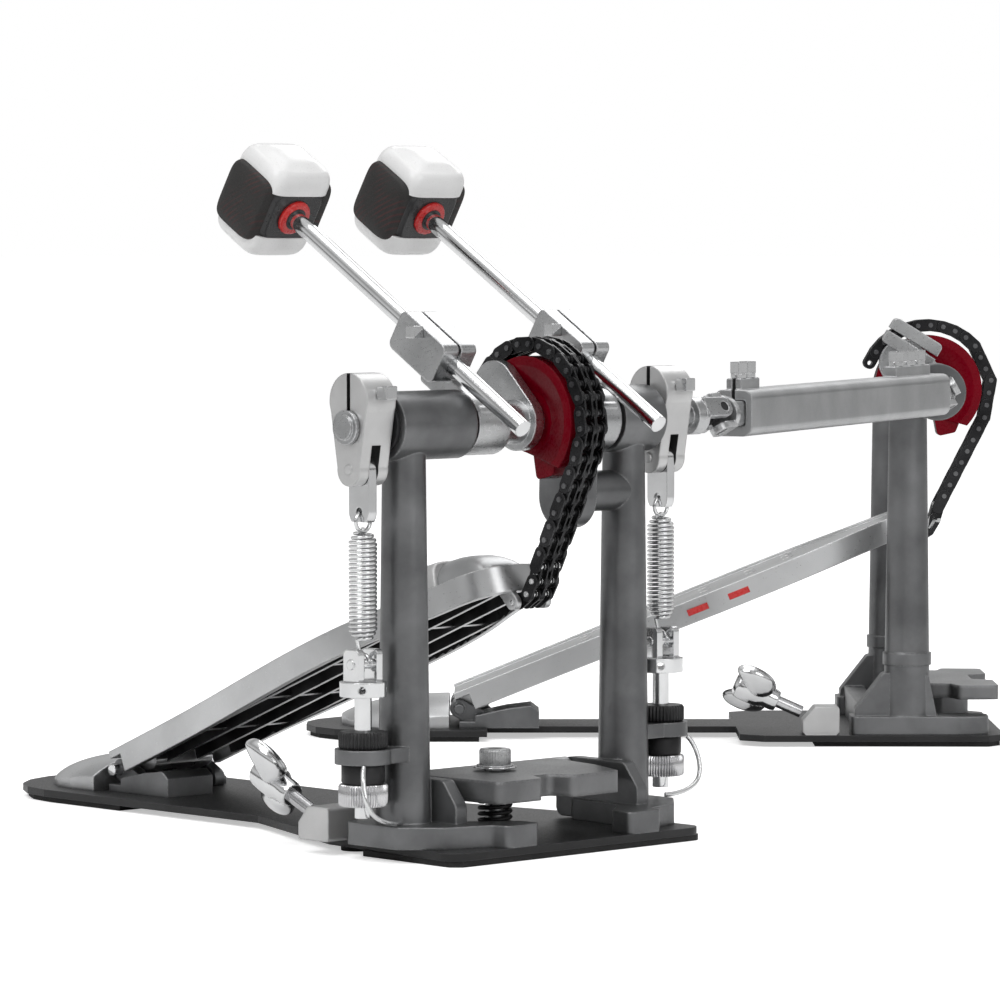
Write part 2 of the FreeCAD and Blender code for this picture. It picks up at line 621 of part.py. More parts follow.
def clamp_bolt():
    head = rod((CLAMP_X, 0, 34.4), (CLAMP_X, 0, 41), 6.6)
    socket = rod((CLAMP_X, 0, 38), (CLAMP_X, 0, 42), 3.2)
    washer = rod((CLAMP_X, 0, 33.0), (CLAMP_X, 0, 34.6), 9.0)
    shank = rod((CLAMP_X, 0, PLATE_TOP), (CLAMP_X, 0, 35), 4.0)
    return fuse([head, washer, shank]).cut(socket)


def clamp_spring():
    """Coils between the base and the jaw."""
    return [Part.makeTorus(6.4, 0.9, FreeCAD.Vector(CLAMP_X, 0, z), Z_AXIS) for z in (9, 12.5, 16, 19.5)]


def clamp_block(x, y, z=PLATE_TOP):
    """Inclined nut block that the wing bolt runs into."""
    body = profile([(y - 9, z), (y - 9, z + 7), (y - 3, z + 14), (y + 9, z + 14), (y + 9, z)],
                   x - 8, x + 8)
    return soften(body, X_AXIS, 1.5)


def wing_bolt(x, y, z):
    """Wing screw whose screw axis leans up to the back; built along -Y, then turned."""
    screw = rod((0, 0, 0), (0, -26, 0), 3.0)
    hub = fuse([cone((0, -14, 0), (0, -22, 0), 5.0, 6.5), rod((0, -22, 0), (0, -34, 0), 6.5)])
    wings = []
    for side in (1, -1):
        wing = plan([(side * 3, -22), (side * 10, -20), (side * 17, -30), (side * 17, -41),
                     (side * 12, -43), (side * 5, -34)], -2.8, 2.8)
        wings.append(soften(wing, Z_AXIS, 2.2))
    solid = fuse([screw, hub] + wings)
    solid = solid.rotated(ORIGIN, Y_AXIS, 55).rotated(ORIGIN, X_AXIS, -WING_LEAN)
    return solid.translated(FreeCAD.Vector(x, y, z))


# ---------------------------------------------------------------- universal joints and drive shaft
def unit(v):
    return FreeCAD.Vector(v).normalize()


SLAVE_OUT = FreeCAD.Vector(cos(radians(SLAVE_TURN)), sin(radians(SLAVE_TURN)), 0)
JOINT_A = FreeCAD.Vector(FORK_X, 0, AXLE_Z)
JOINT_B = FreeCAD.Vector(SLAVE_X, SLAVE_Y, AXLE_Z) + SLAVE_OUT * SLAVE_FORK_X
SHAFT_DIR = unit(JOINT_B - JOINT_A)
SHAFT_LENGTH = (JOINT_B - JOINT_A).Length


def turned(axis, angle):
    """Vertical direction turned about an axis by an angle in degrees."""
    return FreeCAD.Rotation(axis, angle).multVec(Z_AXIS)


PINS_A = turned(FreeCAD.Vector(-1, 0, 0), CROSS_TURN)
PINS_B = turned(SLAVE_OUT * -1, CROSS_TURN)
SIDE_A = unit(PINS_A.cross(SHAFT_DIR))
SIDE_B = unit(PINS_B.cross(SHAFT_DIR))


def oriented(shape, centre, along, across):
    """Place a shape built with its fork opening along +X and its pins along Z."""
    third = across.cross(along)
    matrix = FreeCAD.Matrix(along.x, third.x, across.x, centre.x,
                            along.y, third.y, across.y, centre.y,
                            along.z, third.z, across.z, centre.z, 0, 0, 0, 1)
    moved = shape.copy()
    moved.Placement = FreeCAD.Placement(matrix)
    return moved


def fork(hole_r, back):
    """Fork with its pin axis along Z at the origin, its stem running to x = -back."""
    stem = rod((-back, 0, 0), (-9.5, 0, 0), 8.0)
    prongs = []
    for z0, z1 in ((5.4, 8.4), (-8.4, -5.4)):
        prongs.append(box(-11, 0, -4.4, 4.4, z0, z1))
        prongs.append(Part.makeCylinder(4.4, 3.0, FreeCAD.Vector(0, 0, z0)))
    solid = fuse([stem] + prongs)
    return solid.cut(Part.makeCylinder(hole_r, 40, FreeCAD.Vector(0, 0, -20)))


def cross(centre, pins, side):
    """Cross of a universal joint: a rounded block with two pins through it."""
    hub = box(-3.3, 3.3, -3.3, 3.3, -3.3, 3.3)
    hub = hub.makeFillet(0.9, hub.Edges)
    arms = [rod((0, 0, -8.2), (0, 0, 8.2), CROSS_R), rod((0, -8.2, 0), (0, 8.2, 0), CROSS_R)]
    return oriented(fuse([hub] + arms), centre, side.cross(pins), pins)


def fork_a():
    return oriented(fork(CROSS_R + RUN, 16), JOINT_A, FreeCAD.Vector(-1, 0, 0), PINS_A)


def fork_b():
    return oriented(fork(CROSS_R + RUN, 16), JOINT_B, SLAVE_OUT, PINS_B)


def along_shaft(distance):
    place = JOINT_A + SHAFT_DIR * distance
    return (place.x, place.y, place.z)


def shaft_prism(half_y, half_z, start, end, corner):
    """Rounded rectangular bar along the drive shaft."""
    bar = box(start, end, -half_y, half_y, -half_z, half_z)
    bar = soften(bar, X_AXIS, corner)
    return oriented(bar, JOINT_A, SHAFT_DIR, Z_AXIS)


def drive_rod():
    """Inner rod of the telescopic shaft with the fork at the main pedal."""
    bar = shaft_prism(5.4, 5.4, 12, 215, 1.5)
    return fuse([oriented(fork(CROSS_R + FORK_PLAY, 14), JOINT_A, SHAFT_DIR * -1, SIDE_A), bar])


def drive_tube():
    """Outer tube with split clamps at both ends and the fork at the slave pedal."""
    end = SHAFT_LENGTH - 14
    body = shaft_prism(8.6, 10.1, TUBE_START, end, 4.0)
    lips = [shaft_prism(3.4, 3.0, s0, s1, 1.0).translated(FreeCAD.Vector(0, 0, 12.0))
            for s0, s1 in ((TUBE_START + 1, 52), (252, 306))]
    solid = fuse([body] + lips)
    solid = solid.cut(shaft_prism(5.7, 5.7, TUBE_START - 1, 300, 1.5))
    slit = shaft_prism(0.8, 12, TUBE_START - 1, 54, 0.1).translated(FreeCAD.Vector(0, 0, 14))
    solid = solid.cut(slit)
    tail = oriented(fork(CROSS_R + FORK_PLAY, 18), JOINT_B, SHAFT_DIR, SIDE_B)
    return fuse([solid, tail])


def drive_bolts():
    """Square key bolts that stand on the tube's clamps."""
    bolts = []
    for distance in (34, 46, 262, 280, 297):
        x, y, _ = along_shaft(distance)
        bolts.append(key_bolt((x, y, AXLE_Z + 15.02), (x, y, AXLE_Z + 17), 3.4, 3.6, 5.0))
    return group(bolts)


# ---------------------------------------------------------------- slave frame
def slave_posts():
    """Two posts, the hub and arms cast with them, and the front feet."""
    solids = []
    for side in (1, -1):
        x = side * SLAVE_POST_X
        solids.append(column(x, SLAVE_POST_Y, PLATE_TOP + 4, AXLE_Z, (9.8, 11.5), (8.6, 9.2)))
        solids.append(rod((x - 9, 0, AXLE_Z), (x + 9, 0, AXLE_Z), HUB_R))
        solids.append(rod((x, SLAVE_POST_Y, 40), (x, SLAVE_POST_Y, 46), 12.0))
        foot = plan([(x - 11, -42), (x + 11, -42), (x + 11, 12), (x + 8, 26), (x - 8, 26), (x - 11, 12)],
                    PLATE_TOP, PLATE_TOP + 9)
        solids.append(soften(foot, Z_AXIS, 4.0))
        heel = profile([(-40, PLATE_TOP + 2), (-40, 18), (-26, 36), (-4, 36), (2, PLATE_TOP + 2)],
                       x - 6, x + 6)
        solids.append(soften(heel, X_AXIS, 3.0))
    bridge = box(-SLAVE_POST_X, SLAVE_POST_X, -38, -28, PLATE_TOP, 20)
    solid = fuse(solids + [bridge])
    return solid.cut(rod((-80, 0, AXLE_Z), (80, 0, AXLE_Z), 9.0))


def slave_bearings():
    return [ring((x - 8.5, 0, AXLE_Z), (x + 8.5, 0, AXLE_Z), 8.98, AXLE_R + RUN)
            for x in (-SLAVE_POST_X, SLAVE_POST_X)]


def slave_base():
    front = plan([(-60, -97), (60, -97), (68, -85), (68, 26), (60, 34), (-60, 34), (-68, 26), (-68, -85)],
                 PLATE_BOTTOM, PLATE_TOP)
    rail = box(-20, 20, -250, -95, PLATE_BOTTOM, PLATE_TOP)
    heel = plan(heel_outline(43.0, SLAVE_HEEL_END_Y, -222, 0.0), PLATE_BOTTOM, PLATE_TOP)
    return fuse([front, rail, heel])


def slave_rubber():
    front = plan([(-64, -60), (64, -60), (66, 26), (58, 32), (-58, 32), (-66, 26)], 0, PLATE_BOTTOM)
    heel = plan(heel_outline(41.0, SLAVE_HEEL_END_Y + 2, -226, 0.0), 0, PLATE_BOTTOM)
    return group([front, heel])


def slave_jaw():
    outline = [(-38, -14), (38, -14), (40, 9), (52, 12), (50, 32), (18, 32), (12, 22), (-12, 22), (-18, 32),
               (-50, 32), (-52, 12), (-40, 9)]
    plate = soften(plan(outline, JAW_Z, JAW_Z + 7), Z_AXIS, 2.5)
    return fuse([plate, rod((-44.5, -14, JAW_Z + 3.5), (44.5, -14, JAW_Z + 3.5), 4.2)])


def slave_axle():
    shaft = rod((-SLAVE_POST_X - 13, 0, AXLE_Z), (SLAVE_FORK_X - 14, 0, AXLE_Z), AXLE_R)
    return fuse([shaft, cam_carrier(-9.5, 21, 7.6, 12.0)])


def memory_clamp():
    """Split collar on the slave axle with its key bolt lugs."""
    collar = rod((13, 0, AXLE_Z), (22.5, 0, AXLE_Z), 13.0)
    lug = beater_box(13, 22.5, 6, 34, 8, 22)
    solid = fuse([collar, soften(lug, X_AXIS, 2.5)])
    solid = solid.cut(beater_box(10, 30, 6, 60, 14.2, 15.8))
    return solid.cut(rod((0, 0, AXLE_Z), (40, 0, AXLE_Z), AXLE_R + 4.02))


# ---------------------------------------------------------------- assembly
def add_main_frame():
    nodes["base_plate"] = base_plate()
    nodes["base_rubber"] = base_rubber()
    nodes["heel_plate"] = heel_dome(-290.0, -241.0)
    nodes["heel_bracket"] = heel_bracket()
    nodes["heel_hinge_pin"] = hinge_pin()
    nodes["right_post"] = post(RIGHT_HUB_IN)
    nodes["left_post"] = left_post()
    nodes["axle_bearings"] = axle_bearings()
    nodes["spring_anchors"] = group([spring_anchor(SPRING_X), spring_anchor(-SPRING_X)])
    nodes["right_tension_nuts"] = tension_nuts(SPRING_X)
    nodes["left_tension_nuts"] = tension_nuts(-SPRING_X)
    nodes["guard_wires"] = group([guard_wire(1), guard_wire(-1)])
    nodes["clamp_bolt"] = group([clamp_bolt()] + clamp_spring())
    nodes["clamp_block"] = clamp_block(74.0, -34.0)


def add_chain(prefix, x, layout, place=lambda shape: shape):
    wrap, parts, run = layout
    nodes[prefix + "_chain_wrap"] = place(group(chain(wrap, x)))
    for letter, points in zip("abc", parts):
        first_inner = len(points) % 2 == 1 or letter == "a"
        nodes[prefix + "_chain_" + letter] = place(group(chain(points, x, first_inner)))
    start_inner = (len(parts) * (len(parts[0]) - 1)) % 2 == 0
    nodes[prefix + "_chain_run"] = place(group(chain(run, x, start_inner, last_open=True)))


def add_right_drive():
    low, high = CENTRE_BEARING
    shaft = rod((low + 4.2, 0, AXLE_Z), (96.5, 0, AXLE_Z), AXLE_R)
    washer = rod((93.6, 0, AXLE_Z), (95.4, 0, AXLE_Z), 7.0)
    nodes["right_axle"] = fuse([shaft, washer, cam_carrier(-20.5, 13.0, -4.4, 0.5)])
    nodes["right_cam"] = cam(-19.0, -5.0, CAM_R)
    nodes["right_beater_holder"] = beater_holder(15.0, 33.0, RIGHT_BEATER_X, 9.0)
    nodes["right_rocker"] = rocker(77.8, 93.2)
    add_chain("right", CHAIN_X, chain_layout(3, 2))
    add_spring("right", SPRING_X)
    add_beater("right", RIGHT_BEATER_X)


def add_left_drive():
    low, high = CENTRE_BEARING
    shaft = rod((low + 3.8, 0, AXLE_Z), (FORK_X + 14, 0, AXLE_Z), AXLE_R)
    nodes["left_axle"] = fuse([shaft, fork_a()])
    nodes["left_beater_holder"] = beater_holder(-49.0, -37.0, LEFT_BEATER_X, 8.0)
    nodes["left_rocker"] = rocker(-93.2, -77.8)
    add_spring("left", -SPRING_X)
    add_beater("left", LEFT_BEATER_X)


def add_spring(side, x):
    blade, hook = spring_yoke(x)
    nodes[side + "_spring_yoke"] = group([blade, hook])
    nodes[side + "_spring_coil"] = coil(x)


def add_beater(side, x):
    nodes[side + "_beater_shaft"] = beater_shaft(x)
    nodes[side + "_beater_head"] = beater_head(x)


def add_key_bolts():
    """Square key bolts of the rockers and beater clamps, grouped by axle."""
    for side, rocker_x, beater_x, half in (("right", SPRING_X, RIGHT_BEATER_X, 9.0),
                                           ("left", -SPRING_X, LEFT_BEATER_X, 8.0)):
        rocker_bolt = key_bolt((rocker_x, -8, AXLE_Z + 14), (rocker_x, 11.4, AXLE_Z + 14), 2.05, 3.6, 6.0)
        face = beater_x + half
        clamp_bolt_x = (face - 2 * half + 2, face + 0.1)
        start, end = (on_beater(x, *KEY_SEAT) for x in clamp_bolt_x)
        nodes[side + "_key_bolts"] = group([rocker_bolt, key_bolt(start, end, 1.55, 3.4, 5.0)])


def add_footboard():
    run_end = chain_layout(3, 2)[2][-1]
    nodes["footboard"] = footboard(BOARD_X, CHAIN_X, run_end)
    nodes["toe_stop"] = toe_stop()
    nodes["toe_links"] = group(toe_links(CHAIN_X, run_end))


def add_clamp():
    nodes["hoop_clamp_jaw"] = jaw()
    nodes["clamp_wing_bolt"] = wing_bolt(74.0, -43.4, 16.5)


def add_drive_shaft():
    nodes["main_cross"] = cross(JOINT_A, PINS_A, SIDE_A)
    nodes["drive_rod"] = drive_rod()
    nodes["drive_tube"] = drive_tube()
    nodes["drive_bolts"] = drive_bolts()
    nodes["slave_cross"] = cross(JOINT_B, PINS_B, SIDE_B)


def add_slave():
    nodes["slave_base"] = to_slave(group([slave_base(), clamp_block(58.0, -57.0)]))
    nodes["slave_rubber"] = to_slave(slave_rubber())
    heel = [heel_dome(-296.0, -241.0, 35.0, 0.0), heel_bracket(0.0), hinge_pin(0.0)]
    nodes["slave_heel"] = to_slave(group(heel))
    nodes["slave_posts"] = to_slave(group([slave_posts()] + slave_bearings()))
    nodes["slave_clamp_jaw"] = to_slave(slave_jaw())
    nodes["slave_wing_bolt"] = to_slave(wing_bolt(58.0, -66.4, 16.5))
    nodes["slave_axle"] = fuse([to_slave(slave_axle()), fork_b()])
    nodes["slave_cam"] = to_slave(cam(-7.0, 7.0, CAM_R))
    nodes["slave_memory_clamp"] = to_slave(memory_clamp())
    add_chain("slave", 0.0, chain_layout(2, 3), to_slave)
    run_end = chain_layout(2, 3)[2][-1]
    nodes["slave_footboard"] = to_slave(group([footboard(0.0, 0.0, run_end)] + toe_links(0.0, run_end)))


def main():
    add_main_frame()
    add_footboard()
    add_right_drive()
    add_left_drive()
    add_key_bolts()
    add_clamp()
    add_drive_shaft()
    add_slave()
    os.makedirs("parts", exist_ok=True)
    for name, shape in nodes.items():
        shape.exportStep("parts/" + name + ".step")
    print(len(nodes), "nodes")


main()
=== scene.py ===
"""Looks of a double bass drum pedal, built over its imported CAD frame.

Every place comes from the frame: node boxes, joint positions and joint axes. Local sizes are in
millimetres and become metres through MM when a mesh is made.
"""
import json
from math import cos, pi, radians, sin, sqrt

import bmesh
import bpy
from mathutils import Matrix, Vector


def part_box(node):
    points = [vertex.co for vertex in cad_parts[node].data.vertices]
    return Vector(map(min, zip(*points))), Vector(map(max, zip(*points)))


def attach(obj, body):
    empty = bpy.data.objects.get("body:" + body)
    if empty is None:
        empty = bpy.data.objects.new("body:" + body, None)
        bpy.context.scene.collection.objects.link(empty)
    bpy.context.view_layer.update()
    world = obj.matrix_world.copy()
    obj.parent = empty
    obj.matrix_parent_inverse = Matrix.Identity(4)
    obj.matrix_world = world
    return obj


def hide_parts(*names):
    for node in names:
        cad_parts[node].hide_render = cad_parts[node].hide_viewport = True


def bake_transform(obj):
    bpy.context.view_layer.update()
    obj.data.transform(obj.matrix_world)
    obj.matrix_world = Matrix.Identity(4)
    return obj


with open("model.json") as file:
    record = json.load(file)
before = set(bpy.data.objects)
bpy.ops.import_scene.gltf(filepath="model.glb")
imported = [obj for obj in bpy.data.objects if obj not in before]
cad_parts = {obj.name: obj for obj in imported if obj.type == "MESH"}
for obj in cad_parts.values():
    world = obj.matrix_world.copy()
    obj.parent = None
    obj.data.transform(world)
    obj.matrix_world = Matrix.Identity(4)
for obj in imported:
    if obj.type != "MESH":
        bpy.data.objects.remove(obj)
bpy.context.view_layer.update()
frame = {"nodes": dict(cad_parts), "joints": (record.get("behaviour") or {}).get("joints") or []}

MM = 0.001
X_AXIS = Vector((1, 0, 0))
Z_AXIS = Vector((0, 0, 1))
BOARD_SLOPE = radians(21.9)
BOARD_ALONG = Vector((0, cos(BOARD_SLOPE), sin(BOARD_SLOPE)))
BOARD_UP = Vector((0, -sin(BOARD_SLOPE), cos(BOARD_SLOPE)))
JOINTS = {joint["name"]: joint for joint in frame["joints"]}
SIDES = ("right", "left")


# ---------------------------------------------------------------- places taken from the frame
def joint_place(name):
    return Vector(JOINTS[name]["pos_m"])


def joint_axis(name):
    return Vector(JOINTS[name]["axis"]).normalized()


def node_centre(name):
    low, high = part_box(name)
    return (low + high) / 2


def basis(origin, up, side):
    """Matrix that puts local Z along up and local X as near as it can to side."""
    up = up.normalized()
    across = (side - up * side.dot(up)).normalized()
    third = up.cross(across)
    rows = [(across[i], third[i], up[i], origin[i]) for i in range(3)]
    return Matrix(rows + [(0, 0, 0, 1)])


AXLE = joint_place("right_beater_swing")
SLAVE_AXLE = joint_place("slave_cam_swing")
SLAVE_X = -joint_axis("slave_cam_swing")
SLAVE_TO_LOCAL = basis(Vector((SLAVE_AXLE.x, SLAVE_AXLE.y, 0)), Z_AXIS, SLAVE_X).inverted()
MAIN_TO_LOCAL = Matrix.Identity(4)


# ---------------------------------------------------------------- materials
class Graph:
    """Short names for building one node material."""

    def __init__(self, name):
        self.material = bpy.data.materials.new(name)
        self.material.use_nodes = True
        self.tree = self.material.node_tree
        self.shader = self.tree.nodes["Principled BSDF"]
        coordinates = self.tree.nodes.new("ShaderNodeTexCoord")
        self.position = coordinates.outputs["Object"]

    def node(self, kind, **inputs):
        node = self.tree.nodes.new(kind)
        for key, value in inputs.items():
            self.feed(node.inputs[key.replace("_", " ")], value)
        return node

    def feed(self, socket, value):
        if isinstance(value, bpy.types.NodeSocket):
            self.tree.links.new(value, socket)
        else:
            socket.default_value = value

    def noise(self, scale, detail=4.0):
        texture = self.node("ShaderNodeTexNoise", Vector=self.position, Scale=scale, Detail=detail)
        return texture.outputs["Fac"]

    def ramp(self, value, low, high, out_low=0.0, out_high=1.0):
        node = self.node("ShaderNodeMapRange", Value=value)
        for key, number in (("From Min", low), ("From Max", high), ("To Min", out_low), ("To Max", out_high)):
            node.inputs[key].default_value = number
        return node.outputs["Result"]

    def mix(self, factor, first, second):
        node = self.tree.nodes.new("ShaderNodeMix")
        node.data_type = "RGBA"
        for index, value in ((0, factor), (6, first), (7, second)):
            self.feed(node.inputs[index], value)
        return node.outputs[2]

    def math(self, operation, first, second=0.0):
        node = self.tree.nodes.new("ShaderNodeMath")
        node.operation = operation
        self.feed(node.inputs[0], first)
        self.feed(node.inputs[1], second)
        return node.outputs[0]

    def rounded_normal(self, radius):
        return self.node("ShaderNodeBevel", Radius=radius * MM).outputs["Normal"]

    def edge_mask(self, rounded, sharpness):
        """1 on edges, 0 on open faces: how far the rounded normal leaves the true one."""
        true_normal = self.tree.nodes.new("ShaderNodeNewGeometry").outputs["Normal"]
        dot = self.tree.nodes.new("ShaderNodeVectorMath")
        dot.operation = "DOT_PRODUCT"
        self.feed(dot.inputs[0], rounded)
        self.feed(dot.inputs[1], true_normal)
        return self.ramp(dot.outputs["Value"], 1.0, 1.0 - sharpness)


def rgb(colour):
    return (*colour, 1.0)


def finish(name, dark, light, metallic, rough, bump, grain, edge=None, edge_radius=0.6, cloud=45.0, coat=0.0):
    """General finish: cloudy colour, fine grain in roughness and bump, worn edges, soft corners.

    Grain and cloud are noise scales per metre of the part; edge_radius is in millimetres.
    """
    graph = Graph(name)
    clouds = graph.ramp(graph.noise(cloud), 0.35, 0.65)
    fine = graph.noise(grain, 6.0)
    colour = graph.mix(clouds, rgb(dark), rgb(light))
    rounded = graph.rounded_normal(edge_radius)
    if edge:
        worn = graph.math("MULTIPLY", graph.edge_mask(rounded, 0.25), graph.ramp(fine, 0.3, 0.6))
        colour = graph.mix(worn, colour, rgb(edge))
    graph.feed(graph.shader.inputs["Base Color"], colour)
    graph.feed(graph.shader.inputs["Metallic"], metallic)
    graph.feed(graph.shader.inputs["Roughness"], graph.ramp(fine, 0.25, 0.75, rough * 0.8, rough * 1.25))
    graph.feed(graph.shader.inputs["Coat Weight"], coat)
    bumped = graph.node("ShaderNodeBump", Strength=bump, Distance=0.2 * MM, Height=fine, Normal=rounded)
    graph.feed(graph.shader.inputs["Normal"], bumped.outputs["Normal"])
    return graph.material


def red_cam_with_painted_light():
    """Deep red lacquer with painted light: a painted highlight where it faces the eye and painted shade
    towards grazing angles.
    """
    graph = Graph("cam_red")
    facing = graph.node("ShaderNodeLayerWeight", Blend=0.35).outputs["Facing"]
    clouds = graph.ramp(graph.noise(35.0, 1.0), 0.35, 0.65, 0.0, 0.18)
    # painted highlight and painted shade from the facing weight, plus random cloudy tone
    depth = graph.math("ADD", facing, clouds)
    colour = graph.mix(depth, rgb((0.20, 0.0, 0.008)), rgb((0.008, 0.0, 0.001)))
    graph.feed(graph.shader.inputs["Base Color"], colour)
    graph.feed(graph.shader.inputs["Specular IOR Level"], 0.12)
    graph.feed(graph.shader.inputs["Roughness"], graph.ramp(graph.noise(700.0), 0.3, 0.7, 0.24, 0.32))
    graph.feed(graph.shader.inputs["Normal"], graph.rounded_normal(0.9))
    return graph.material


def pad_finish():
    """Black striking pad with faint dark red rings and a felted grain."""
    graph = Graph("pad_black")
    wave = graph.node("ShaderNodeTexWave", Vector=graph.position, Scale=150.0, Distortion=0.8, Detail=1.0)
    wave.wave_type = "RINGS"
    wave.rings_direction = "X"
    rings = graph.math("MULTIPLY", graph.ramp(wave.outputs["Fac"], 0.6, 1.0, 0.0, 0.4),
                       graph.ramp(graph.noise(90.0), 0.45, 0.65))
    colour = graph.mix(rings, rgb((0.016, 0.015, 0.0145)), rgb((0.10, 0.010, 0.012)))
    fine = graph.noise(2200.0, 8.0)
    graph.feed(graph.shader.inputs["Base Color"], colour)
    graph.feed(graph.shader.inputs["Roughness"], graph.ramp(fine, 0.3, 0.7, 0.55, 0.8))
    bumped = graph.node("ShaderNodeBump", Strength=0.35, Distance=0.15 * MM, Height=fine)
    graph.feed(graph.shader.inputs["Normal"], bumped.outputs["Normal"])
    return graph.material


MATERIALS = {
    "base_black": finish("base_black", (0.006, 0.006, 0.0065), (0.015, 0.015, 0.016), 0.15, 0.42, 0.25, 1500,
                         edge=(0.10, 0.10, 0.105)),
    "rubber": finish("rubber", (0.010, 0.010, 0.010), (0.02, 0.02, 0.02), 0.0, 0.75, 0.5, 1800),
    "casting": finish("casting", (0.125, 0.127, 0.13), (0.20, 0.203, 0.207), 0.85, 0.36, 0.12, 1100,
                      edge=(0.36, 0.36, 0.365), edge_radius=1.2, cloud=38.0),
    "jaw": finish("jaw", (0.15, 0.152, 0.155), (0.22, 0.222, 0.226), 0.8, 0.38, 0.1, 1100,
                  edge=(0.34, 0.34, 0.345), edge_radius=2.6, cloud=38.0),
    "aluminium": finish("aluminium", (0.46, 0.465, 0.47), (0.60, 0.605, 0.61), 0.95, 0.32, 0.02, 1100,
                        edge=(0.85, 0.85, 0.85), edge_radius=1.0, cloud=22.0),
    "recess": finish("recess", (0.016, 0.016, 0.017), (0.06, 0.06, 0.062), 0.7, 0.38, 0.15, 900, cloud=60.0),
    "chrome": finish("chrome", (0.64, 0.645, 0.65), (0.76, 0.765, 0.77), 1.0, 0.11, 0.02, 500,
                     edge_radius=0.7),
    "bright": finish("bright", (0.52, 0.52, 0.52), (0.60, 0.60, 0.60), 0.65, 0.36, 0.03, 1100,
                     edge_radius=1.2),
    "satin": finish("satin", (0.40, 0.405, 0.41), (0.54, 0.545, 0.55), 1.0, 0.30, 0.06, 1200,
                    edge=(0.78, 0.78, 0.79), edge_radius=0.9),
    "tube": finish("tube", (0.34, 0.345, 0.35), (0.42, 0.425, 0.43), 0.9, 0.34, 0.05, 1400,
                   edge=(0.6, 0.6, 0.61), edge_radius=1.0),
    # dark parts such as bearings, crosses and the clamp spring; also painted shade in the rocker slot and
    # slit and in the screw socket
    "seal_and_painted_shade": finish("seal_and_painted_shade", (0.02, 0.02, 0.021), (0.05, 0.05, 0.052), 0.4, 0.4, 0.1, 900),
    "chain": finish("chain", (0.014, 0.014, 0.015), (0.04, 0.04, 0.042), 0.8, 0.3, 0.12, 1500,
                    edge=(0.16, 0.16, 0.165), edge_radius=0.25),
    # bright steel chain pin ends; the same lighter colour on the rollers is a painted glint
    "chain_pin_and_painted_glint": finish("chain_pin_and_painted_glint", (0.10, 0.10, 0.105), (0.20, 0.20, 0.205), 1.0, 0.3, 0.05, 2000,
                        edge_radius=0.2),
    "pin_end": finish("pin_end", (0.45, 0.45, 0.46), (0.7, 0.7, 0.71), 1.0, 0.22, 0.05, 2000,
                      edge_radius=0.2),
    "knob": finish("knob", (0.012, 0.012, 0.013), (0.035, 0.035, 0.036), 0.5, 0.42, 0.15, 1500,
                   edge=(0.12, 0.12, 0.12), edge_radius=0.25),
    "white": finish("white", (0.70, 0.70, 0.70), (0.76, 0.76, 0.76), 0.0, 0.3, 0.005, 1400, coat=0.15),
    "core": finish("core", (0.008, 0.008, 0.009), (0.02, 0.02, 0.021), 0.0, 0.3, 0.08, 900, edge_radius=0.8),
    "ring_red": finish("ring_red", (0.40, 0.008, 0.008), (0.55, 0.014, 0.012), 0.0, 0.28, 0.05, 600,
                       coat=0.3),
    "cam": red_cam_with_painted_light(),
    "pad": pad_finish(),
}


# ---------------------------------------------------------------- painting the CAD nodes
def paint(node, *names, choose=None):
    """Give a CAD node its materials; choose(centre, normal) says which one each face takes."""
    mesh = frame["nodes"][node].data
    mesh.materials.clear()
    for name in names:
        mesh.materials.append(MATERIALS[name])
    for polygon in mesh.polygons:
        polygon.material_index = choose(polygon.center, polygon.normal) if choose else 0


def chain_chooser(to_local, chain_x, clip_above=None):
    """Black plates; pin ends, rollers between the plates and the clip at the toe take material 1; on the
    rollers that lighter material is a painted glint.
    """
    pin_end, row_offset, roller_half = 6.6 * MM, 3.2 * MM, 1.5 * MM
    clip_offset = 2 * row_offset - roller_half
    turn = to_local.to_3x3()

    def choose(centre, normal):
        offset = abs((to_local @ centre).x - chain_x)
        is_side = abs((turn @ normal).x) < 0.3
        # pin ends are bright steel; the rollers' lighter colour is a painted glint
        if offset > pin_end or (is_side and abs(offset - row_offset) < roller_half):
            return 1
        if clip_above and centre.z > clip_above and offset > clip_offset:
            return 1
        return 0
    return choose


def board_chooser(to_local, hinge, links=False):
    """Polished board; material 1 under the deck, on the ribs' flanks and on the rails' inner faces.

    With links, the chain links fixed under the board's toe take material 2.
    """
    deck_bottom, rib_bottom, links_top = 4.0 * MM, -2.3 * MM, -4.5 * MM
    inner_rib, outer_rib = 12 * MM, 29 * MM
    ribs_start, hips_start, hips_end, links_start, ribs_end = (v * MM for v in (17, 80, 200, 205, 215))
    turn = to_local.to_3x3()

    def choose(centre, normal):
        local = to_local @ centre - hinge
        along, height, facing = local.dot(BOARD_ALONG), local.dot(BOARD_UP), turn @ normal
        if links and height < links_top and along > links_start:
            return 2
        if not rib_bottom < height < deck_bottom or along < ribs_start:
            return 0
        under_deck = facing.dot(BOARD_UP) < -0.9 and height > deck_bottom - 0.5 * MM
        inward = facing.x * local.x < 0 and abs(facing.x) > 0.3
        reach = outer_rib if hips_start < along < hips_end else inner_rib
        rib_flank = abs(facing.x) > 0.95 and abs(local.x) < reach
        cross_flank = abs(facing.dot(BOARD_ALONG)) > 0.95 and along < ribs_end
        return int(under_deck or inward or rib_flank or cross_flank)
    return choose


def rocker_chooser(node):
    """Bright rocker with shaded walls in its slot and its clamping slit."""
    middle = node_centre(node)
    slot_half, slit_half = 2.6 * MM, 1.1 * MM

    def choose(centre, normal):
        # the slot walls and the slit faces take the dark material 1: painted shade
        in_slot = abs(centre.x - middle.x) < slot_half and abs(normal.x) > 0.9 and centre.z < AXLE.z
        in_slit = abs(centre.y) < slit_half and abs(normal.y) > 0.9 and centre.z > AXLE.z
        return int(in_slot or in_slit)
    return choose


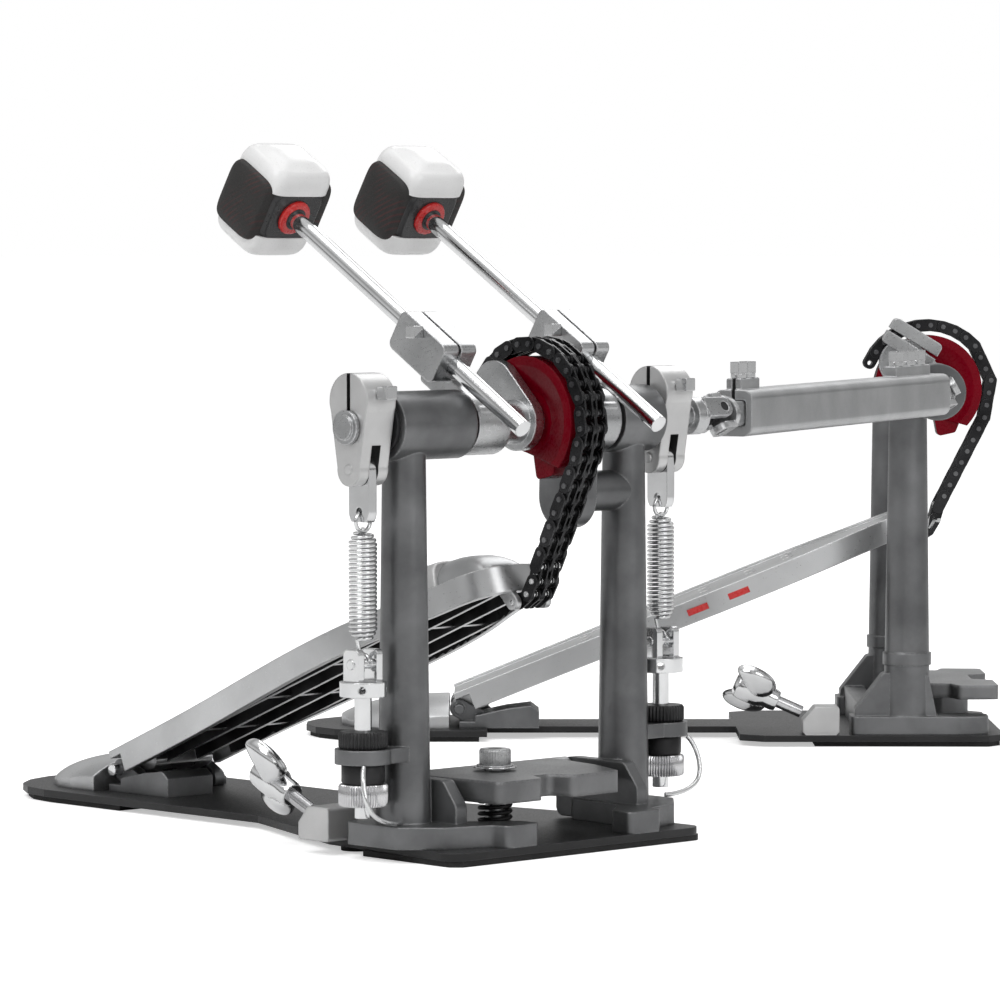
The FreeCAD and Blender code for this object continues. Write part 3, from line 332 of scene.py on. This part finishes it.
def bearing_chooser():
    """Casting, with dark bearings round the slave axle."""
    bearing_reach = 9.0 * MM

    def choose(centre, normal):
        across = (SLAVE_TO_LOCAL @ centre).y
        return int(Vector((0, across, centre.z - SLAVE_AXLE.z)).length < bearing_reach)
    return choose


def chain_nodes(prefix):
    return [name for name in frame["nodes"] if name.startswith(prefix + "_chain_")]


def paint_plain_nodes():
    plain = {
        "base_black": ["base_plate"],
        "rubber": ["base_rubber", "slave_rubber"],
        "casting": ["right_post", "left_post", "heel_bracket"],
        "jaw": ["hoop_clamp_jaw", "slave_clamp_jaw"],
        "aluminium": ["heel_plate"],
        "bright": ["clamp_block"],
        "chrome": ["heel_hinge_pin", "spring_anchors", "guard_wires",
                   "right_key_bolts", "left_key_bolts", "right_spring_yoke", "left_spring_yoke",
                   "right_beater_shaft", "left_beater_shaft", "drive_bolts"],
        "satin": ["right_axle", "left_axle", "right_beater_holder", "left_beater_holder", "drive_rod",
                  "slave_axle", "slave_memory_clamp"],
        "tube": ["drive_tube"],
        "cam": ["right_cam", "slave_cam"],
        "seal_and_painted_shade": ["axle_bearings", "main_cross", "slave_cross"],
    }
    for material, nodes in plain.items():
        for node in nodes:
            paint(node, material)


def paint_chains():
    main_x = node_centre("right_chain_wrap").x
    for node in chain_nodes("right"):
        paint(node, "chain", "chain_pin_and_painted_glint", choose=chain_chooser(MAIN_TO_LOCAL, main_x))
    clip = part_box("toe_links")[1].z - 5 * MM
    paint("toe_links", "chain", "chrome", choose=chain_chooser(MAIN_TO_LOCAL, main_x, clip))
    for node in chain_nodes("slave"):
        paint(node, "chain", "chain_pin_and_painted_glint", choose=chain_chooser(SLAVE_TO_LOCAL, 0.0))


def paint_two_tone_nodes():
    for side in SIDES:
        paint(side + "_rocker", "bright", "seal_and_painted_shade", choose=rocker_chooser(side + "_rocker"))
    paint("slave_posts", "casting", "seal_and_painted_shade", choose=bearing_chooser())
    hinge = joint_place("footboard_hinge")
    slave_hinge = SLAVE_TO_LOCAL @ joint_place("slave_footboard_hinge")
    paint("footboard", "aluminium", "recess", choose=board_chooser(MAIN_TO_LOCAL, hinge))
    paint("slave_footboard", "aluminium", "recess", "chain",
          choose=board_chooser(SLAVE_TO_LOCAL, slave_hinge, links=True))
    plate_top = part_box("base_plate")[1].z
    paint("slave_base", "base_black", "bright", choose=lambda centre, normal: int(centre.z > plate_top + MM))
    heel_front = slave_hinge.y - 5 * MM
    paint("slave_heel", "aluminium", "casting",
          choose=lambda centre, normal: int((SLAVE_TO_LOCAL @ centre).y > heel_front))


# ---------------------------------------------------------------- mesh makers, in millimetres
def add_piece(name, verts, faces, material, body, place=None, smooth=True, bevel=0.0, subdivide=0):
    mesh = bpy.data.meshes.new(name)
    mesh.from_pydata([Vector(v) * MM for v in verts], [], faces)
    shaped = bmesh.new()
    shaped.from_mesh(mesh)
    bmesh.ops.recalc_face_normals(shaped, faces=shaped.faces)
    shaped.to_mesh(mesh)
    shaped.free()
    piece = bpy.data.objects.new(name, mesh)
    bpy.context.scene.collection.objects.link(piece)
    mesh.materials.append(MATERIALS[material])
    if place is not None:
        mesh.transform(place)
    if bevel:
        modifier = piece.modifiers.new("bevel", "BEVEL")
        modifier.width = bevel * MM
        modifier.segments = 3
        modifier.limit_method = "ANGLE"
    if subdivide:
        piece.modifiers.new("subdivision", "SUBSURF").levels = subdivide
        piece.modifiers["subdivision"].render_levels = subdivide
    if smooth:
        mesh.shade_smooth()
        mesh.set_sharp_from_angle(angle=radians(38))
    if body:
        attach(piece, body)
    return piece


def loops(rings):
    """Closed skin over rings of points that all have the same count."""
    count = len(rings[0])
    verts = [point for ring in rings for point in ring]
    faces = []
    for i in range(len(rings) - 1):
        for j in range(count):
            k = (j + 1) % count
            faces.append((i * count + j, i * count + k, (i + 1) * count + k, (i + 1) * count + j))
    faces.append(tuple(range(count))[::-1])
    faces.append(tuple(range((len(rings) - 1) * count, len(rings) * count)))
    return verts, faces


def outline(half_x, half_y, power, count, teeth=0, depth=0.0):
    """Superellipse: power 2 is an ellipse, 5 a rounded square. Teeth cut a knurl."""
    points = []
    for i in range(count):
        angle = 2 * pi * i / count
        c, s = cos(angle), sin(angle)
        bite = depth * (0.5 - 0.5 * cos(teeth * angle)) if teeth else 0.0
        x = (half_x - bite) * abs(c) ** (2 / power) * (1 if c >= 0 else -1)
        y = (half_y - bite) * abs(s) ** (2 / power) * (1 if s >= 0 else -1)
        points.append((x, y))
    return points


def stack(profile, half_x, half_y, power=2.0, count=48, teeth=0, depth=0.0):
    """Solid of scaled outlines: profile is (scale, height) from bottom to top."""
    rings = []
    for scale, height in profile:
        shape = outline(half_x * scale, half_y * scale, power, count, teeth, depth)
        rings.append([(x, y, height) for x, y in shape])
    return loops(rings)


def round_stack(profile, radius, count=48, teeth=0, depth=0.0):
    return stack(profile, radius, radius, 2.0, count, teeth, depth)


def sweep(points, radius, count=10):
    """Round wire along points, carried without twist."""
    points = [Vector(p) for p in points]
    tangent = (points[1] - points[0]).normalized()
    side = tangent.orthogonal().normalized()
    rings = []
    for i, point in enumerate(points):
        ahead = points[min(i + 1, len(points) - 1)] - points[max(i - 1, 0)]
        ahead.normalize()
        side = (side - ahead * side.dot(ahead)).normalized()
        up = ahead.cross(side)
        rings.append([tuple(point + (side * cos(2 * pi * j / count) + up * sin(2 * pi * j / count)) * radius)
                      for j in range(count)])
    return loops(rings)


def rounded_rise(base, top, edge, steps=6, crown=0.0):
    """(scale, height) profile with a round top edge, edge given as a share of the half width."""
    profile = [(1.0, base)]
    drop = (top - base) * 0.75
    for i in range(1, steps + 1):
        angle = pi / 2 * i / steps
        profile.append((1.0 - edge * (1 - cos(angle)), top - drop * (1 - sin(angle))))
    if crown:
        inner = profile[-1][0]
        profile += [(inner * (1 - t), top + crown * sqrt(1 - (1 - t) ** 2)) for t in (0.25, 0.5, 0.75, 0.98)]
    return profile


# ---------------------------------------------------------------- beater heads
CORE_HALF = (15.0, 12.8)
CAP_HALF = (16.6, 14.8)
PAD_HALF = (14.6, 13.0)
CORE_POWER = 5.0
FACE_POWER = 5.5
COLLAR_RADIUS = 7.8
BUSH_RADIUS = 4.9


def beater_head(side):
    """White caps above and below, black pads at the sides, black core and a red collar."""
    node = side + "_beater_head"
    body = side + "_beater"
    headward = joint_axis(side + "_beater_height")
    place = basis(node_centre(node), headward, X_AXIS)
    middle = [(0.84, -14.5), (0.95, -13), (1.0, -8), (1.0, 8), (0.92, 12), (0.76, 14)]
    verts, faces = stack(middle, *CORE_HALF, CORE_POWER)
    core = add_piece(side + "_head_core", verts, faces, "core", body, place, bevel=0.4)
    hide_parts(node)
    cap = rounded_rise(10.2, 20.6, 0.26, 10, 2.7)
    pad = rounded_rise(12.2, 18.8, 0.10, 6, 2.2)
    for name, turn, half, profile, material in (("cap_top", 0, CAP_HALF, cap, "white"),
                                                ("cap_bottom", pi, CAP_HALF, cap, "white"),
                                                ("pad_right", -pi / 2, PAD_HALF, pad, "pad"),
                                                ("pad_left", pi / 2, PAD_HALF, pad, "pad")):
        verts, faces = stack(profile, *half, FACE_POWER, 64)
        spun = place @ Matrix.Rotation(turn, 4, "Z") @ Matrix.Rotation(-pi / 2, 4, "X")
        add_piece(side + "_head_" + name, verts, faces, material, body, spun)
    verts, faces = round_stack([(0.9, -16.2), (1.0, -15.6), (1.0, -13.5)], COLLAR_RADIUS)
    add_piece(side + "_head_collar", verts, faces, "ring_red", body, place, bevel=0.4)
    verts, faces = round_stack([(1.0, -16.6), (1.0, -13.5)], BUSH_RADIUS)
    add_piece(side + "_head_bush", verts, faces, "core", body, place, bevel=0.2)


# ---------------------------------------------------------------- springs and their adjusters
COIL_MEAN = 5.1
COIL_WIRE = 0.78
COIL_TURNS = 24
END_NARROWING = 0.38
HOOK_RADIUS = 3.6
HOOK_DROP = 9.4                 # from the lowest turn to the hook's middle
HOOK_LENGTH = 13.8              # from the lowest turn to the hook's underside
TOP_OVERLAP = 0.1


def spring_wire(low, high):
    """Wound wire with narrowed ends; a hook at the bottom and a short straight end at the top."""
    points = []
    per_turn = 20
    total = COIL_TURNS * per_turn
    for i in range(total + 1):
        t = i / total
        angle = 2 * pi * i / per_turn
        narrow = 1.0 - END_NARROWING * (max(0.0, 1 - t * 12) + max(0.0, 1 - (1 - t) * 12))
        radius = COIL_MEAN * narrow
        points.append((radius * cos(angle), radius * sin(angle), low + (high - low) * t))
    lower = [(0.0, -HOOK_RADIUS * cos(a), low - HOOK_DROP + HOOK_RADIUS * sin(a))
             for a in (radians(20 * i - 90) for i in range(14))]
    upper = [(0.0, 0.0, high + 1.2), (0.0, 0.0, high + 2.2)]
    return lower[::-1] + points + upper


def spring(side):
    node = side + "_spring_coil"
    centre = node_centre(node)
    box_low, box_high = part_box(node)
    low = box_low.z / MM + HOOK_LENGTH
    high = box_high.z / MM + TOP_OVERLAP
    verts, faces = sweep(spring_wire(low, high), COIL_WIRE)
    place = Matrix.Translation((centre.x, centre.y, 0))
    coil = add_piece(side + "_spring_wire", verts, faces, "chrome", None, place)
    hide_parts(node)
    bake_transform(coil)


NUT_RADIUS = 10.0
NUT_BUSH_RADIUS = 8.8
KNURL_DEPTH = 0.55


def tension_nuts(side):
    """Black knurled knob on the bracket; black bush and bright knurled nut under it."""
    node = side + "_tension_nuts"
    centre = node_centre(node)
    place = Matrix.Translation((centre.x, centre.y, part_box(node)[0].z))
    nut = [(0.94, 0), (1.0, 0.8), (1.0, 8.0), (0.94, 8.8)]
    bush = [(0.95, 9.1), (1.0, 9.8), (1.0, 16.2), (0.95, 16.9)]
    knob = [(0.94, 23.2), (1.0, 24.0), (1.0, 29.0), (0.93, 30.0)]
    for name, profile, radius, teeth, material in (("knob", knob, NUT_RADIUS, 40, "knob"),
                                                   ("bush", bush, NUT_BUSH_RADIUS, 0, "knob"),
                                                   ("nut", nut, NUT_RADIUS, 52, "pin_end")):
        verts, faces = round_stack(profile, radius, max(teeth * 6, 60), teeth, KNURL_DEPTH)
        piece = add_piece("_".join((side, "tension", name)), verts, faces, material, node, place)
        if name == "knob":
            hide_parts(node)


# ---------------------------------------------------------------- clamp screws
WING_TURN = radians(55)
WING_SCREW_RADIUS = 3.0
WING_HUB_RADIUS = 6.8


def wing_petal(side):
    """One wing: a broad swept blade, thick at the hub and round at the tip."""
    # from hub to tip: (distance from the screw's axis, height, half thickness, blade size)
    ridge = [(4, 22, 5.6, 7.4), (8, 24, 5.6, 8.8), (12, 27, 5.0, 9.2), (15, 30.5, 4.2, 8.4),
             (17, 34, 3.2, 6.0), (17.6, 36, 2.0, 3.2)]
    inward, upward = 0.45, 0.8
    turns = [2 * pi * i / 20 for i in range(20)]
    rings = []
    for x, z, thick, size in ridge:
        rings.append([(side * (x - size * inward * cos(a)), thick * sin(a), z + size * upward * cos(a))
                      for a in turns])
    return loops(rings)


def wing_bolt(node, joint):
    """Screw, round hub and two wings; the node and its body share one name."""
    place = basis(joint_place(joint), joint_axis(joint), X_AXIS) @ Matrix.Rotation(WING_TURN, 4, "Z")
    verts, faces = round_stack([(1.0, 0), (1.0, 14)], WING_SCREW_RADIUS, 40)
    add_piece(node + "_screw", verts, faces, "pin_end", node, place, bevel=0.3)
    hub = [(0.72, 13), (0.8, 15), (0.8, 20), (1.0, 23), (1.0, 32), (0.92, 34.5), (0.6, 36)]
    verts, faces = round_stack(hub, WING_HUB_RADIUS)
    middle = add_piece(node + "_hub", verts, faces, "chrome", node, place, bevel=0.4)
    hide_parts(node)
    for name, side in (("a", 1), ("b", -1)):
        verts, faces = wing_petal(side)
        add_piece(node + "_wing_" + name, verts, faces, "chrome", node, place, subdivide=2)


CLAMP_HEAD_RADIUS = 6.6
CLAMP_KNURL_DEPTH = 0.35
CLAMP_WASHER_RADIUS = 9.0
CLAMP_SMALL_WASHER_RADIUS = 7.6
CLAMP_STEM_RADIUS = 4.0
CLAMP_SOCKET_RADIUS = 3.2
CLAMP_COIL_MEAN = 6.4
CLAMP_COIL_WIRE = 0.85
CLAMP_COIL_TURNS = 5


def clamp_screw():
    """Knurled socket screw through the jaw, with washers over the jaw and a spring under it.

    Heights are measured from the top of the screw's head.
    """
    low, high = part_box("clamp_bolt")
    centre = (low + high) / 2
    place = Matrix.Translation((centre.x, centre.y, high.z))
    bottom = (low.z - high.z) / MM
    head = [(0.94, -6.6), (1.0, -6.2), (1.0, -0.8), (0.92, 0)]
    for name, profile, radius, teeth, material in (
            ("head", head, CLAMP_HEAD_RADIUS, 36, "satin"),
            ("washer", [(1.0, -7.95), (1.0, -7.2)], CLAMP_WASHER_RADIUS, 0, "chrome"),
            ("washer_small", [(1.0, -7.2), (1.0, -6.5)], CLAMP_SMALL_WASHER_RADIUS, 0, "satin"),
            ("stem", [(1.0, bottom), (1.0, -8.0)], CLAMP_STEM_RADIUS, 0, "satin")):
        verts, faces = round_stack(profile, radius, max(teeth * 6, 48), teeth, CLAMP_KNURL_DEPTH)
        piece = add_piece("clamp_screw_" + name, verts, faces, material, "main_frame", place,
                          bevel=0.15)
        if name == "head":
            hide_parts("clamp_bolt")
    per_turn = 24
    total = CLAMP_COIL_TURNS * per_turn
    coil_low, coil_rise = bottom + 1.3, 12.4
    coil = []
    for i in range(total + 1):
        angle = 2 * pi * i / per_turn
        height = coil_low + coil_rise * i / total
        coil.append((CLAMP_COIL_MEAN * cos(angle), CLAMP_COIL_MEAN * sin(angle), height))
    verts, faces = sweep(coil, CLAMP_COIL_WIRE)
    add_piece("clamp_screw_spring", verts, faces, "seal_and_painted_shade", "main_frame", place)
    # the socket is a thin dark disc on the head: painted shade standing for the hole
    verts, faces = round_stack([(1.0, -0.05), (1.0, 0.02)], CLAMP_SOCKET_RADIUS, 6)
    add_piece("clamp_screw_socket", verts, faces, "seal_and_painted_shade", "main_frame", place, smooth=False,
              bevel=0.02)


# ---------------------------------------------------------------- details on the footboards
def board_place(to_world, hinge, across):
    """Matrix of a board's own frame: X across, Y along the board, Z square to it, from its hinge."""
    origin = hinge + X_AXIS * across
    rows = [(X_AXIS[i], BOARD_ALONG[i], BOARD_UP[i], origin[i]) for i in range(3)]
    return to_world @ Matrix(rows + [(0, 0, 0, 1)])


def rounded_lift(t, power):
    """1 in the middle, falling to 0 at t = -1 and 1."""
    return max(0.0, 1 - abs(t) ** power) ** 0.5


DECK = 7.2                      # top of the deck over the hinge line, square to the board
STOP_HALF = 18.0
STOP_START, STOP_END = 209.0, 217.0
STOP_RISE = 15.2
COVER_HALF = 16.5
COVER_START, COVER_LENGTH = 216.5, 26.0
COVER_RISE = 14.0
MARK_STARTS = (124.0, 146.0)
MARK_LENGTH = 11
MARK_LOW, MARK_HIGH = 1.2, 4.4
MARK_PROUD = 0.35


def toe_stop():
    """Light upright stop plate with a darker rounded cover behind it that falls to the toe."""
    place = board_place(MAIN_TO_LOCAL, joint_place("footboard_hinge"), 0.0)
    steps = 20
    arch = [(-1 + 2 * i / steps) for i in range(steps + 1)]
    shoulder = 5.0
    top = [(STOP_HALF * t, STOP_START, DECK + shoulder + (STOP_RISE - shoulder) * rounded_lift(t, 6))
           for t in arch]
    front = [(-STOP_HALF, STOP_START, DECK)] + top + [(STOP_HALF, STOP_START, DECK)]
    back = [(x * 0.96, STOP_END, z - 0.8) for x, _, z in front]
    verts, faces = loops([front, back])
    piece = add_piece("toe_stop_plate", verts, faces, "bright", "footboard", place,
                      bevel=0.9)
    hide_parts("toe_stop")
    rings = []
    for share in (0.0, 0.15, 0.3, 0.45, 0.6, 0.72, 0.84, 0.93, 0.98):
        along = COVER_START + COVER_LENGTH * share
        fall = sqrt(1 - share ** 2)
        half = COVER_HALF * (0.75 + 0.25 * fall)
        rings.append([(half * t, along, DECK - 0.2 + COVER_RISE * fall * rounded_lift(t, 3)) for t in arch])
    verts, faces = loops(rings)
    add_piece("toe_stop_cover", verts, faces, "tube", "footboard", place, bevel=0.4)


def rail_marks():
    """Two plain red dashes on the outer rail of the slave footboard."""
    hinge = SLAVE_TO_LOCAL @ joint_place("slave_footboard_hinge")
    mesh = frame["nodes"]["slave_footboard"].data
    places = [SLAVE_TO_LOCAL @ vertex.co - hinge for vertex in mesh.vertices]
    for index, start in enumerate(MARK_STARTS):
        rail_face = max(p.x for p in places if abs(p.dot(BOARD_ALONG) / MM - start) < 30)
        place = board_place(SLAVE_TO_LOCAL.inverted(), hinge, rail_face)
        end = start + MARK_LENGTH
        corners = [(start, MARK_LOW), (end, MARK_LOW), (end, MARK_HIGH), (start, MARK_HIGH)]
        verts, faces = loops([[(x, y, z) for y, z in corners] for x in (-0.5, MARK_PROUD)])
        add_piece(f"rail_mark_{index + 1}", verts, faces, "ring_red", "slave_footboard",
                  place, bevel=0.12)


# ---------------------------------------------------------------- stage, light and camera
FLOOR_HALF = 60
FLOOR_GLOW = 0.48
LIGHT_AIM = Vector((-0.15, -0.1, 0.12))


def floor():
    """Pale matt floor that glows only to the eye, so that it meets the white sky without an edge."""
    mesh = bpy.data.meshes.new("floor")
    corners = [(FLOOR_HALF * x, FLOOR_HALF * y, 0) for x, y in ((-1, -1), (1, -1), (1, 1), (-1, 1))]
    mesh.from_pydata(corners, [], [(0, 1, 2, 3)])
    ground = bpy.data.objects.new("floor", mesh)
    bpy.context.scene.collection.objects.link(ground)
    graph = Graph("floor_pale")
    tone = graph.mix(graph.ramp(graph.noise(3.0), 0.3, 0.7), rgb((0.88, 0.88, 0.88)), rgb((0.92, 0.92, 0.92)))
    graph.feed(graph.shader.inputs["Base Color"], tone)
    graph.feed(graph.shader.inputs["Roughness"], 0.9)
    graph.feed(graph.shader.inputs["Specular IOR Level"], 0.0)
    seen = graph.tree.nodes.new("ShaderNodeLightPath").outputs["Is Camera Ray"]
    graph.feed(graph.shader.inputs["Emission Color"], rgb((1, 1, 1)))
    graph.feed(graph.shader.inputs["Emission Strength"], graph.math("MULTIPLY", seen, FLOOR_GLOW))
    mesh.materials.append(graph.material)


def lamps():
    """Four soft area lamps, all aimed at the middle of the part."""
    for name, place, size, power in (("key", (1.5, 0.2, 1.7), 1.1, 14.0), ("fill", (0.1, 1.9, 1.0), 1.0, 7.0),
                                     ("back", (-1.7, -0.9, 1.6), 1.2, 11.0), ("top", (0, 0, 2.4), 1.6, 12.0)):
        light = bpy.data.lights.new(name, "AREA")
        light.energy = power
        light.size = size
        lamp = bpy.data.objects.new(name, light)
        lamp.location = place
        lamp.rotation_euler = (LIGHT_AIM - Vector(place)).to_track_quat("-Z", "Y").to_euler()
        bpy.context.scene.collection.objects.link(lamp)


def sky():
    """White to the eye and softer as light; reflections see bright walls with darker bands."""
    world = bpy.data.worlds.new("studio")
    bpy.context.scene.world = world
    world.use_nodes = True
    tree = world.node_tree
    tree.nodes.clear()
    new = tree.nodes.new
    link = tree.links.new
    place = new("ShaderNodeTexCoord")
    split = new("ShaderNodeSeparateXYZ")
    link(place.outputs["Generated"], split.inputs[0])
    ramp = new("ShaderNodeValToRGB")
    stops = ((0.0, 0.45), (0.47, 0.30), (0.53, 0.18), (0.62, 0.75), (0.80, 0.35), (1.0, 0.95))
    ramp.color_ramp.elements[0].position = stops[0][0]
    ramp.color_ramp.elements[1].position = stops[-1][0]
    for position, _ in stops[1:-1]:
        ramp.color_ramp.elements.new(position)
    for element, (_, value) in zip(ramp.color_ramp.elements, stops):
        element.color = (value, value, value, 1)
    height = new("ShaderNodeMapRange")
    height.inputs["From Min"].default_value = -1.0
    link(split.outputs["Z"], height.inputs["Value"])
    link(height.outputs["Result"], ramp.inputs["Fac"])
    reflected = new("ShaderNodeBackground")
    link(ramp.outputs["Color"], reflected.inputs["Color"])
    seen = new("ShaderNodeBackground")
    rays = new("ShaderNodeLightPath")
    level = new("ShaderNodeMapRange")
    level.inputs["To Min"].default_value = 0.6
    link(rays.outputs["Is Camera Ray"], level.inputs["Value"])
    link(level.outputs["Result"], seen.inputs["Strength"])
    seen.inputs["Color"].default_value = (1, 1, 1, 1)
    choice = new("ShaderNodeMixShader")
    link(rays.outputs["Is Glossy Ray"], choice.inputs[0])
    link(seen.outputs[0], choice.inputs[1])
    link(reflected.outputs[0], choice.inputs[2])
    output = new("ShaderNodeOutputWorld")
    link(choice.outputs[0], output.inputs["Surface"])


CAMERA_PLACE = (1.462, 1.503, 0.249)
CAMERA_VIEW = (-0.695, -0.719)
CAMERA_PITCH = radians(2.9)
CAMERA_LENS = 183.6


def camera():
    lens = bpy.data.cameras.new("camera")
    lens.lens = CAMERA_LENS
    lens.sensor_width = 36.0
    lens.clip_start = 0.05
    eye = bpy.data.objects.new("camera", lens)
    eye.location = CAMERA_PLACE
    view = Vector((*CAMERA_VIEW, 0)).normalized() * cos(CAMERA_PITCH) - Z_AXIS * sin(CAMERA_PITCH)
    eye.rotation_euler = view.to_track_quat("-Z", "Y").to_euler()
    bpy.context.scene.collection.objects.link(eye)
    bpy.context.scene.camera = eye
    bpy.context.scene.view_settings.view_transform = "Standard"


# ---------------------------------------------------------------- build
paint_plain_nodes()
paint_chains()
paint_two_tone_nodes()
for side in SIDES:
    beater_head(side)
    spring(side)
    tension_nuts(side)
wing_bolt("clamp_wing_bolt", "clamp_wing_turn")
wing_bolt("slave_wing_bolt", "slave_wing_turn")
clamp_screw()
toe_stop()
rail_marks()
floor()
lamps()
sky()
camera()
